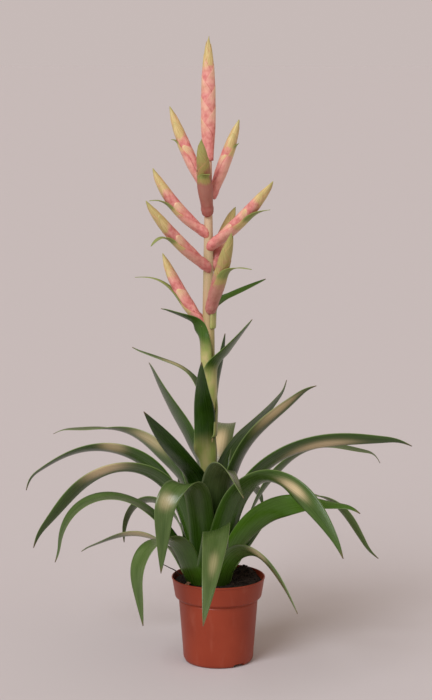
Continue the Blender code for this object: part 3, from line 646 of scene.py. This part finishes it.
def leaf_line(leaf, foot_radius, cup_height):
    """Points along the leaf's middle, their shares of its length, and the free blade's start."""
    lift = np.arctan(tan(radians(leaf.rise)) * leaf.reach / cup_height)
    angles = np.linspace(0, lift, CUP_STEPS)
    radius = foot_radius + leaf.reach * np.sin(angles)
    height = leaf.level + cup_height * (1 - np.cos(angles))
    heading = radians(leaf.turn)
    cup = np.stack([PLANT_X + radius * cos(heading), radius * sin(heading), height], 1)
    cup_length = np.linalg.norm(np.diff(cup, axis=0), axis=1).sum()
    free = leaf.length - cup_length
    along = (np.arange(BLADE_STEPS) + 0.5) / BLADE_STEPS
    share = (cup_length + along * free) / leaf.length
    bent = eased((share - leaf.bend) / leaf.spread + 0.5)
    steep = radians(leaf.rise) + radians(leaf.fall - leaf.rise) * bent
    steep = steep - radians(leaf.curl) * eased((share - CURL_FROM) / (1 - CURL_FROM))
    facing = heading + radians(leaf.sweep) * along**1.5
    step = np.stack([np.cos(steep) * np.cos(facing), np.cos(steep) * np.sin(facing), np.sin(steep)], 1)
    points = np.concatenate([cup, cup[-1] + np.cumsum(step, axis=0) * free / BLADE_STEPS])
    gaps = np.linalg.norm(np.diff(points, axis=0), axis=1)
    return points, np.concatenate([[0], np.cumsum(gaps)]) / gaps.sum(), cup_length


# How a leaf grows from its foot: the foot's radius and the cup's height, the sheath's greatest width
# and angle, the length over which the blade comes free, where it tapers and how bluntly, how pale
# the sheath is, and how far past the clasping part the paleness goes.
Habit = namedtuple(
    "Habit", "foot_radius cup_height sheath sheath_angle release taper_start taper_power paleness pale_past"
)


def strap_leaf(leaf, habit, skin):
    """One leaf: a grid whose rows follow the leaf's line, clasping low down and channelled above."""
    points, marks, cup_length = leaf_line(leaf, habit.foot_radius, habit.cup_height)

    def middle(share):
        return np.array([np.interp(share, marks, points[:, axis]) for axis in range(3)])

    heading = radians(leaf.turn)
    level_across = np.array([-sin(heading), cos(heading), 0.0])
    rows_made = {}

    def row_at(share):
        """Middle, direction across, direction of the upper face, width and ease of one row."""
        if share not in rows_made:
            along = middle(min(share + 0.004, 1)) - middle(max(share - 0.004, 0))
            along = along / np.linalg.norm(along)
            across = level_across - along * np.dot(level_across, along)
            across = across / np.linalg.norm(across)
            upper = np.cross(along, across)
            roll = radians(leaf.roll) * eased((share - ROLL_FROM) / TURN_OVER)
            roll += radians(leaf.twist) * eased((share - TWIST_FROM) / TURN_OVER)
            across, upper = across * cos(roll) + upper * sin(roll), upper * cos(roll) - across * sin(roll)
            centre = middle(share)
            radius = np.linalg.norm(centre[:2] - [PLANT_X, 0])
            low = min(habit.sheath, radius * radians(habit.sheath_angle))
            freed = eased((share - leaf.hold / leaf.length) / SHEATH_END)
            blade = leaf.width + (low - leaf.width) * (1 - freed)
            taper = np.clip((share - habit.taper_start) / (1 - habit.taper_start), 0, 1)
            width = TIP_WIDTH + (blade - TIP_WIDTH) * (1 - taper**habit.taper_power)
            ease = eased((share * leaf.length - cup_length - leaf.hold) / habit.release)
            rows_made[share] = centre, across, upper, width, radius, ease
        return rows_made[share]

    form = bmesh.new()
    bmesh.ops.create_grid(form, x_segments=LEAF_ROWS, y_segments=LEAF_COLUMNS, size=0.5)
    uv = form.loops.layers.uv.new("leaf_uv")
    tone = form.verts.layers.float_color.new("leaf_tone")
    for face in form.faces:
        for corner in face.loops:
            corner[uv].uv = (corner.vert.co.y + 0.5, corner.vert.co.x + 0.5)
    for vertex in form.verts:
        share, side = round(vertex.co.x + 0.5, 5), vertex.co.y * 2
        centre, across, upper, width, radius, ease = row_at(share)
        turn = side * width / 2 / radius
        spoke = centre[:2] - [PLANT_X, 0]
        clasping_x = PLANT_X + spoke[0] * cos(turn) - spoke[1] * sin(turn)
        clasping_y = spoke[0] * sin(turn) + spoke[1] * cos(turn)
        clasping = np.array([clasping_x, clasping_y, centre[2]])
        channel = radians(CHANNEL_ANGLE + (TIP_CHANNEL_ANGLE - CHANNEL_ANGLE) * share)
        bow = width / channel
        angle = side * channel / 2
        free = centre + across * bow * sin(angle) + upper * bow * (1 - cos(angle))
        # The patch: sun-bleaching on most leaves, a painted sheen on leaf_front_3.
        bleach_and_sheen = 0.0
        if leaf.patch:
            at, half_length, aside, half_width, strength = leaf.patch
            spread = ((share - at) / half_length) ** 2 + ((side - aside) / half_width) ** 2
            bleach_and_sheen = strength * float(np.exp(-(spread**1.5)))
        young = leaf.fresh * (1 - 0.5 * share) + 0.5 * float(1 - eased(share / 0.22))
        past = share * leaf.length - cup_length - leaf.hold - habit.pale_past
        wraps = habit.paleness * float(1 - eased(past / PALE_FADE))
        # The tone's blue channel is the dusty grey-green, partly painted sheen, from a quarter of the way
        # out.
        vertex[tone] = (bleach_and_sheen, min(young, 1), leaf.dust * float(eased((share - 0.25) / 0.3)), wraps)
        vertex.co = Vector(clasping + (free - clasping) * ease)
    piece = finished_piece(leaf.name.replace("leaf", "strap"), form, skin, 60)
    wall = piece.modifiers.new("thickness", "SOLIDIFY")
    wall.thickness = LEAF_THICKNESS
    wall.offset = 0.0
    return piece


rosette_habit = Habit(
    foot_radius=INSERTION_RADIUS,
    cup_height=CUP_HEIGHT,
    sheath=SHEATH_WIDTH,
    sheath_angle=SHEATH_ANGLE,
    release=BLADE_EASE,
    taper_start=0.40,
    taper_power=2.2,
    paleness=0,
    pale_past=0,
)
for leaf in ROSETTE:
    grown = leaf._replace(level=CROWN_LEVEL + leaf.level)
    # The leaves lying in shade get the darker copy, painted shade.
    dark = leaf.name in PAINTED_SHADE_LEAVES
    piece = strap_leaf(grown, rosette_habit, painted_shade_leaf_skin if dark else leaf_skin)
    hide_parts(leaf.name)
    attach(piece, "root")


# ---- Stem leaves ----
# Leaves of the same tissue standing one above another on the flower stem: a broad one in front,
# painted darker as shade, then five narrow ones. Each wraps the stem with a pale sheath for a way
# before its blade turns out.
# Their levels and lengths are shares of the stem's length.
STEM_CUP_HEIGHT = 0.0080
STEM_SHEATH_WIDTH = 0.0340
STEM_SHEATH_ANGLE = 200
STEM_BLADE_EASE = 0.032
STEM_SHEATH_GAP = 0.0008
STEM_LEAVES = [
    Leaf(
        "leaf_front_1", 252, 0.0004, 0.163, 0.437, 0.028, 88.5, 53, 0.57, 0.25, 20,
        45, -62, 0.070, 0, 0.15, 0.0,
    ),
    Leaf(
        "stem_leaf_1", 164, 0.0003, 0.390, 0.280, 0.010, 88.5, 18, 0.42, 0.52, 3,
        -5, -4, 0.027, -10, 0.4, 0.5,
        (0.62, 0.12, 0.0, 0.9, 0.5),
    ),
    Leaf(
        "stem_leaf_2", 32, 0.0020, 0.370, 0.239, 0.014, 88.5, 81, 0.45, 0.66, -12,
        -45, -25, 0.020, 0, 0.1, 0.0,
    ),
    Leaf(
        "stem_leaf_3", 321, 0.0004, 0.430, 0.277, 0.022, 88.5, 43, 0.40, 0.18, -15,
        -3, 12, 0.045, 0, 0.6, 0.0,
    ),
    Leaf(
        "stem_leaf_4", 201, 0.0002, 0.518, 0.216, 0.013, 88.5, 21, 0.54, 0.25, 3,
        45, -24, 0.030, 10, 0.6, 0.0,
    ),
    Leaf(
        "stem_leaf_5", 22, 0.0007, 0.622, 0.185, 0.008, 88.5, 21, 0.31, 0.30, -3,
        41, -4, 0.014, 0, 0.6, 0.0,
    ),
]

for leaf in STEM_LEAVES:
    level = CROWN_LEVEL + leaf.level * STEM_LENGTH
    foot = float(stem_radius(level)) + STEM_SHEATH_GAP + LEAF_THICKNESS / 2
    grown = leaf._replace(level=level, length=leaf.length * STEM_LENGTH)
    # The leaves lying in shade get the darker copy, painted shade, and a less pale sheath.
    dark = leaf.name in PAINTED_SHADE_LEAVES
    habit = Habit(
        foot_radius=foot,
        cup_height=STEM_CUP_HEIGHT,
        sheath=STEM_SHEATH_WIDTH,
        sheath_angle=STEM_SHEATH_ANGLE,
        release=STEM_BLADE_EASE,
        taper_start=0.45,
        taper_power=2.4,
        paleness=0.55 if dark else 0.95,
        pale_past=0.022 if dark else -0.012,
    )
    piece = strap_leaf(grown, habit, painted_shade_leaf_skin if dark else leaf_skin)
    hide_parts(leaf.name)
    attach(piece, "root")


# ---- Flower spikes ----
# Sword-like spikes of waxy salmon-pink bracts in two ranks. Each bract is a boat that wraps the
# spike and overlaps the foot of the next one on the other side, so their slanting edges cross in
# front. The youngest bracts at the tip are still yellow-green and closed to a point.
TOP_SPIKE_LENGTH = 0.1535
TOP_SPIKE_WIDTH = 0.0162
TOP_SPIKE_DEPTH = 0.0130
SPIKE_WIDTH = 0.0165
SPIKE_DEPTH = 0.0135
SPIKE_FOOT_GAP = 0.0022
SPIKE_FOOT_SHARE = 0.74
SPIKE_WIDEST = 0.30
SPIKE_TAPER = 3.4
SCALE_ROWS = 14
SCALE_COLUMNS = 16
SCALE_WRAP = 172
SCALE_FLARE = 0.013
SCALE_THICKNESS = 0.0004
# Shares of a spike's length: the first bract's foot, the last one's past it, how much further down
# the closed tip starts, a bract's length, where the bracts end, and the least fullness.
SCALE_FIRST = 0.005
SCALE_SPAN = 0.74
CLOSED_TIP_OVERLAP = 0.07
SCALE_LENGTH = 0.36
SCALE_END = 0.96
LEAST_FULLNESS = 0.08

# A spike's row: where round the stem its foot is, heading, share of the stem's length, length, rise,
# change of rise, its bract's length, where the bract's tip turns away, how far, and how much it
# leans sideways, how much of the spike is green at the tip, how dusky its pink is (0 to 1), and how
# many bracts overlap below its closed tip.
SPIKE_FIELDS = "name foot turn share length rise curve bract turn_away swing lean green dusk scales"
Spike = namedtuple("Spike", SPIKE_FIELDS)
SPIKES = [
    Spike("spike_1", 172, 172, 0.950, 0.104, 62, 9, 0.068, 0.85, 60, 0, 0.36, 0, 5),
    Spike("spike_2", 350, 350, 0.936, 0.093, 69, 2, 0.066, 0.88, 30, 0, 0.38, 0.05, 5),
    Spike("spike_3", 258, 258, 0.898, 0.093, 65, 4, 0.056, 0.80, 70, 1.6, 0.50, 0.85, 4),
    Spike("spike_4", 196, 196, 0.845, 0.101, 36, 30, 0.078, 0.62, 65, 0, 0.29, 0, 5),
    Spike("spike_5", 318, 318, 0.815, 0.128, 32, 16, 0.104, 0.62, 40, 0, 0.24, 0, 6),
    Spike("spike_6", 42, 42, 0.773, 0.076, 61, 0, 0.048, 0.85, 30, 0, 0.45, 0.35, 4),
    Spike("spike_7", 240, 212, 0.768, 0.119, 36, 17, 0.090, 0.62, 95, 0, 0.36, 0.15, 5),
    Spike("spike_8", 295, 295, 0.675, 0.113, 57, 3, 0.088, 0.58, 70, 1.1, 0.54, 0.55, 5),
    Spike("spike_9", 172, 172, 0.637, 0.098, 51, 19, 0.104, 0.36, 74, 0, 0.24, 0.05, 5),
]


def waxy_skin_of(name):
    """Bract tissue: pink, then tan-yellow, then leaf green by its attribute, veined and mottled."""
    skin, tree, shader = new_skin(name, 0.45, Specular_IOR_Level=0.4)
    uv = tree.nodes.new("ShaderNodeUVMap")
    uv.uv_map = "bract_uv"
    tone = tree.nodes.new("ShaderNodeVertexColor")
    tone.layer_name = "bract_tone"
    parts = tree.nodes.new("ShaderNodeSeparateColor")
    tree.links.new(tone.outputs["Color"], parts.inputs["Color"])
    ripe, dusk, pale = (parts.outputs[name] for name in ("Red", "Green", "Blue"))
    place = tree.nodes.new("ShaderNodeTexCoord").outputs["Object"]
    mottle = noise_of(tree, place, 170, 4)
    veins = noise_of(tree, uv.outputs["UV"], 1.0, 3, (30, 2, 1))
    deep_pink, salmon, light_salmon = (0.66, 0.20, 0.185), (0.80, 0.31, 0.28), (0.86, 0.44, 0.35)
    pink = ramp_of(tree, mottle, (0.35, deep_pink), (0.52, salmon), (0.70, light_salmon))
    # Paler cream toward each bract's free end, pinker just clear of its neighbour: part its own colour, part
    # painted shade.
    bloom = mix_of(tree, pale, pink, (0.90, 0.62, 0.42))
    bloom = mix_of(tree, dusk, bloom, (0.30, 0.095, 0.070))
    blotch = ramp_of(tree, noise_of(tree, place, 110, 3), (0.35, 0.0), (0.65, 1.0))
    patchy = mix_of(tree, 0.55, ripe, mix_of(tree, 1.0, ripe, blotch, "ADD"))
    patchy = ramp_of(tree, patchy, (0.12, 0.0), (0.58, 1.0))
    patchy = mix_of(tree, 1.0, patchy, ramp_of(tree, ripe, (0.0, 0.0), (0.12, 1.0)), "MULTIPLY")
    tan = ramp_of(tree, veins, (0.3, (0.58, 0.42, 0.15)), (0.7, (0.76, 0.60, 0.28)))
    tan = mix_of(tree, dusk, tan, (0.30, 0.25, 0.060))
    coloured = mix_of(tree, patchy, bloom, tan)
    leafy = ramp_of(tree, veins, (0.3, (0.20, 0.25, 0.050)), (0.7, (0.33, 0.38, 0.11)))
    coloured = mix_of(tree, ramp_of(tree, ripe, (0.50, 0.0), (0.85, 1.0)), coloured, leafy)
    across = tree.nodes.new("ShaderNodeSeparateXYZ")
    tree.links.new(uv.outputs["UV"], across.inputs["Vector"])
    # A dark pink line along each bract's edges on its pink parts: part margin colour, part painted shadow
    # where it overlaps the next bract.
    rim = ramp_of(tree, across.outputs["X"], (0.0, 0.6), (0.06, 0.0), (0.94, 0.0), (1.0, 0.6))
    rim = mix_of(tree, 1.0, rim, ramp_of(tree, ripe, (0.4, 1.0), (0.7, 0.0)), "MULTIPLY")
    edged = mix_of(tree, rim, coloured, (0.62, 0.16, 0.13))
    streaks = ramp_of(tree, veins, (0.3, 0.86), (0.7, 1.0))
    tree.links.new(mix_of(tree, 1.0, edged, streaks, "MULTIPLY"), shader.inputs["Base Color"])
    bump_of(tree, shader, veins, 0.0002, 0.5)
    return skin


waxy_skin = waxy_skin_of("waxy_bract")


class SpikeLine:
    """The line through the middle of a spike, leaving the stem's surface and bending slightly up."""

    def __init__(self, start, turn, rise, curve, length):
        self.start = np.array(start)
        self.out = np.array([cos(radians(turn)), sin(radians(turn)), 0.0])
        self.rise = rise
        self.curve = curve
        self.length = length

    def at(self, distance):
        """Position, direction across and direction of the side that faces the stem."""
        middle = radians(self.rise + self.curve * distance / self.length / 2)
        here = radians(self.rise + self.curve * distance / self.length)
        up = np.array([0.0, 0.0, 1.0])
        position = self.start + (self.out * cos(middle) + up * sin(middle)) * distance
        along = self.out * cos(here) + up * sin(here)
        across = np.array([-self.out[1], self.out[0], 0.0])
        return position, across, np.cross(along, across)


def spike_fullness(share):
    """How full a spike is at a share of its length: a blunt foot, widest low down, a pointed tip."""
    swell = SPIKE_FOOT_SHARE + (1 - SPIKE_FOOT_SHARE) * eased(share / SPIKE_WIDEST)
    taper = np.clip((share - SPIKE_WIDEST) / (1 - SPIKE_WIDEST), 0, 1)
    return float(swell * (1 - taper**SPIKE_TAPER))


def scaled_spike(name, line, width, depth, scales, first, green, dusk):
    """A spike of overlapping bracts: each a grid wrapped round the line from one side.

    The first bract's side is 0 or 1. Green is the share of the spike that is green at the tip.
    """
    form = bmesh.new()
    uv = form.loops.layers.uv.new("bract_uv")
    tone = form.verts.layers.float_color.new("bract_tone")
    reach = line.length
    for index in range(scales + 1):
        last = index == scales
        foot = reach * (SCALE_FIRST + SCALE_SPAN * index / scales - (CLOSED_TIP_OVERLAP if last else 0))
        long = reach - foot if last else min(reach * SCALE_LENGTH, reach * SCALE_END - foot)
        side_heading = pi * ((index + first) % 2)
        made = bmesh.ops.create_grid(form, x_segments=SCALE_ROWS, y_segments=SCALE_COLUMNS, size=0.5)["verts"]
        for face in {face for vertex in made for face in vertex.link_faces}:
            for corner in face.loops:
                corner[uv].uv = (corner.vert.co.y + 0.5, corner.vert.co.x + 0.5)
        for vertex in made:
            share, side = vertex.co.x + 0.5, vertex.co.y * 2
            wrap = radians(SCALE_WRAP) * (1 - (share**12 if last else share**2.6 * 0.97))
            angle = side_heading + side * wrap
            distance = foot + share * long
            position, across, inner = line.at(distance)
            full = spike_fullness(distance / reach)
            lift = 0.0001 + SCALE_FLARE * share * long * (0 if last else 1)
            full = max(full, LEAST_FULLNESS)
            half = across * cos(angle) * (width / 2 * full + lift)
            half = half + inner * sin(angle) * (depth / 2 * full + lift)
            vertex.co = Vector(position + half)
            up = distance / reach
            ageing = eased((up - 0.6) / 0.3)
            ripe = 0.50 * eased((up - (1 - green) + 0.1) / (green * 0.7)) + 0.12 * eased((up - 0.90) / 0.10)
            ripe += 0.12 * share**3 * (1 - side**2) + 0.20 * dusk * ageing
            # Paler toward the bract's free end, pinker where it comes out from under its neighbour: part its
            # own colour, part painted shade.
            pale = (0.60 + 0.25 * (index % 2)) * eased((share - 0.50) / 0.45) * (1 - 0.35 * side**2)
            vertex[tone] = (min(float(ripe), 1), dusk * float(1 - 0.4 * ageing), float(pale), 1)
    piece = finished_piece(name, form, waxy_skin, 60)
    wall = piece.modifiers.new("thickness", "SOLIDIFY")
    wall.thickness = SCALE_THICKNESS
    wall.offset = -1.0
    return piece


top_line = SpikeLine((PLANT_X, 0, STEM_TOP + 0.0004), 90, 90, 0, TOP_SPIKE_LENGTH)
piece = scaled_spike(
    "top_flower_spike", top_line, TOP_SPIKE_WIDTH, TOP_SPIKE_DEPTH, scales=9, first=0, green=0.16, dusk=0.0
)
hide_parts("spike_top")
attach(piece, "root")
lines = {}
for spike in SPIKES:
    level = CROWN_LEVEL + spike.share * STEM_LENGTH
    reach = float(stem_radius(level)) + SPIKE_FOOT_GAP
    heading = radians(spike.foot)
    start = (PLANT_X + reach * cos(heading), reach * sin(heading), level)
    lines[spike.name] = SpikeLine(start, spike.turn, spike.rise, spike.curve, spike.length)
    name = spike.name.replace("spike", "flower_spike")
    rightward = cos(radians(spike.turn)) > 0
    first = (spike.scales + rightward) % 2
    piece = scaled_spike(
        name, lines[spike.name], SPIKE_WIDTH, SPIKE_DEPTH, spike.scales, first, spike.green, spike.dusk
    )
    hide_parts(spike.name)
    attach(piece, "root")


# ---- Clasping bracts ----
# One larger boat-shaped bract under each side spike. Its rounded heel grips the stem, its body hugs
# the spike's foot, and its tip turns away into a narrow green leaf.
BRACT_GAP = 0.0012
BRACT_ARC = 200
BRACT_TIP_ARC = 0.52
BRACT_GRIP = 0.62
BRACT_HEEL = 0.0100
BRACT_SLANT = 0.65
BRACT_RIDGE = 0.0006
BRACT_THICKNESS = 0.0007
BRACT_ROWS = 40
BRACT_COLUMNS = 14
BRACT_LINE_STEPS = 60


def clasping_bract(name, spike, line):
    """A grid on the spike's own oval, a little clear of it, whose tip swings away."""
    steps = BRACT_LINE_STEPS
    share = (np.arange(steps) + 0.5) / steps
    swing = radians(spike.swing) * eased((share - spike.turn_away) / (1 - spike.turn_away))
    long = spike.bract + BRACT_HEEL
    ahead = np.concatenate([[0], np.cumsum(np.cos(swing))]) * long / steps - BRACT_HEEL
    aside = np.concatenate([[0], np.cumsum(np.sin(swing))]) * long / steps
    marks = np.linspace(0, 1, steps + 1)
    slant = BRACT_SLANT * sin(radians(2 * spike.rise))
    form = bmesh.new()
    bmesh.ops.create_grid(form, x_segments=BRACT_ROWS, y_segments=BRACT_COLUMNS, size=0.5)
    uv = form.loops.layers.uv.new("bract_uv")
    tone = form.verts.layers.float_color.new("bract_tone")
    for face in form.faces:
        for corner in face.loops:
            corner[uv].uv = (corner.vert.co.y + 0.5, corner.vert.co.x + 0.5)
    for vertex in form.verts:
        along, side = vertex.co.x + 0.5, vertex.co.y * 2
        distance = float(np.interp(along, marks, ahead))
        away = float(np.interp(along, marks, aside))
        full = spike_fullness(max(distance, 0) / spike.length)
        rounding = sqrt(1 - (1 - min(along / 0.06, 1)) ** 2)
        ridge = BRACT_RIDGE * float(1 - eased(abs(along - 0.13) / 0.05))
        depth = (SPIKE_DEPTH / 2 * full + BRACT_GAP + ridge) * rounding
        width = (SPIKE_WIDTH / 2 * full + BRACT_GAP + ridge) * rounding
        narrowing = 1 + (BRACT_TIP_ARC - 1) * float(eased((along - spike.turn_away + 0.30) / 0.34))
        ending = max(along - spike.turn_away, 0) / (1 - spike.turn_away)
        gripping = 1 + BRACT_GRIP * float(1 - eased((along - 0.08) / 0.30))
        angle = radians(BRACT_ARC / 2) * side * narrowing * gripping * (1 - 0.97 * ending**2.2)
        cut = slant * depth * cos(angle) * float(1 - eased(along / 0.35))
        position, across, inner = line.at(distance - cut)
        rib = position - inner * (depth + away) + across * spike.lean * away
        vertex.co = Vector(rib + across * width * sin(angle) + inner * depth * (1 - cos(angle)))
        leafy = 0.45 * float(eased((along - spike.turn_away + 0.16) / 0.14))
        leafy += 0.55 * float(eased((along - spike.turn_away + 0.04) / 0.14))
        pale = 0.5 * float(eased((along - 0.1) / 0.3)) * (1 - side**2)
        vertex[tone] = (leafy, spike.dusk * 0.9, pale, 1)
    piece = finished_piece(name, form, bract_skin, 60)
    wall = piece.modifiers.new("thickness", "SOLIDIFY")
    wall.thickness = BRACT_THICKNESS
    wall.offset = 0.0
    return piece


bract_skin = waxy_skin_of("waxy_clasping_bract")
for spike in SPIKES:
    piece = clasping_bract(spike.name.replace("spike", "clasping_bract"), spike, lines[spike.name])
    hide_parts(spike.name.replace("spike", "bract"))
    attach(piece, "root")
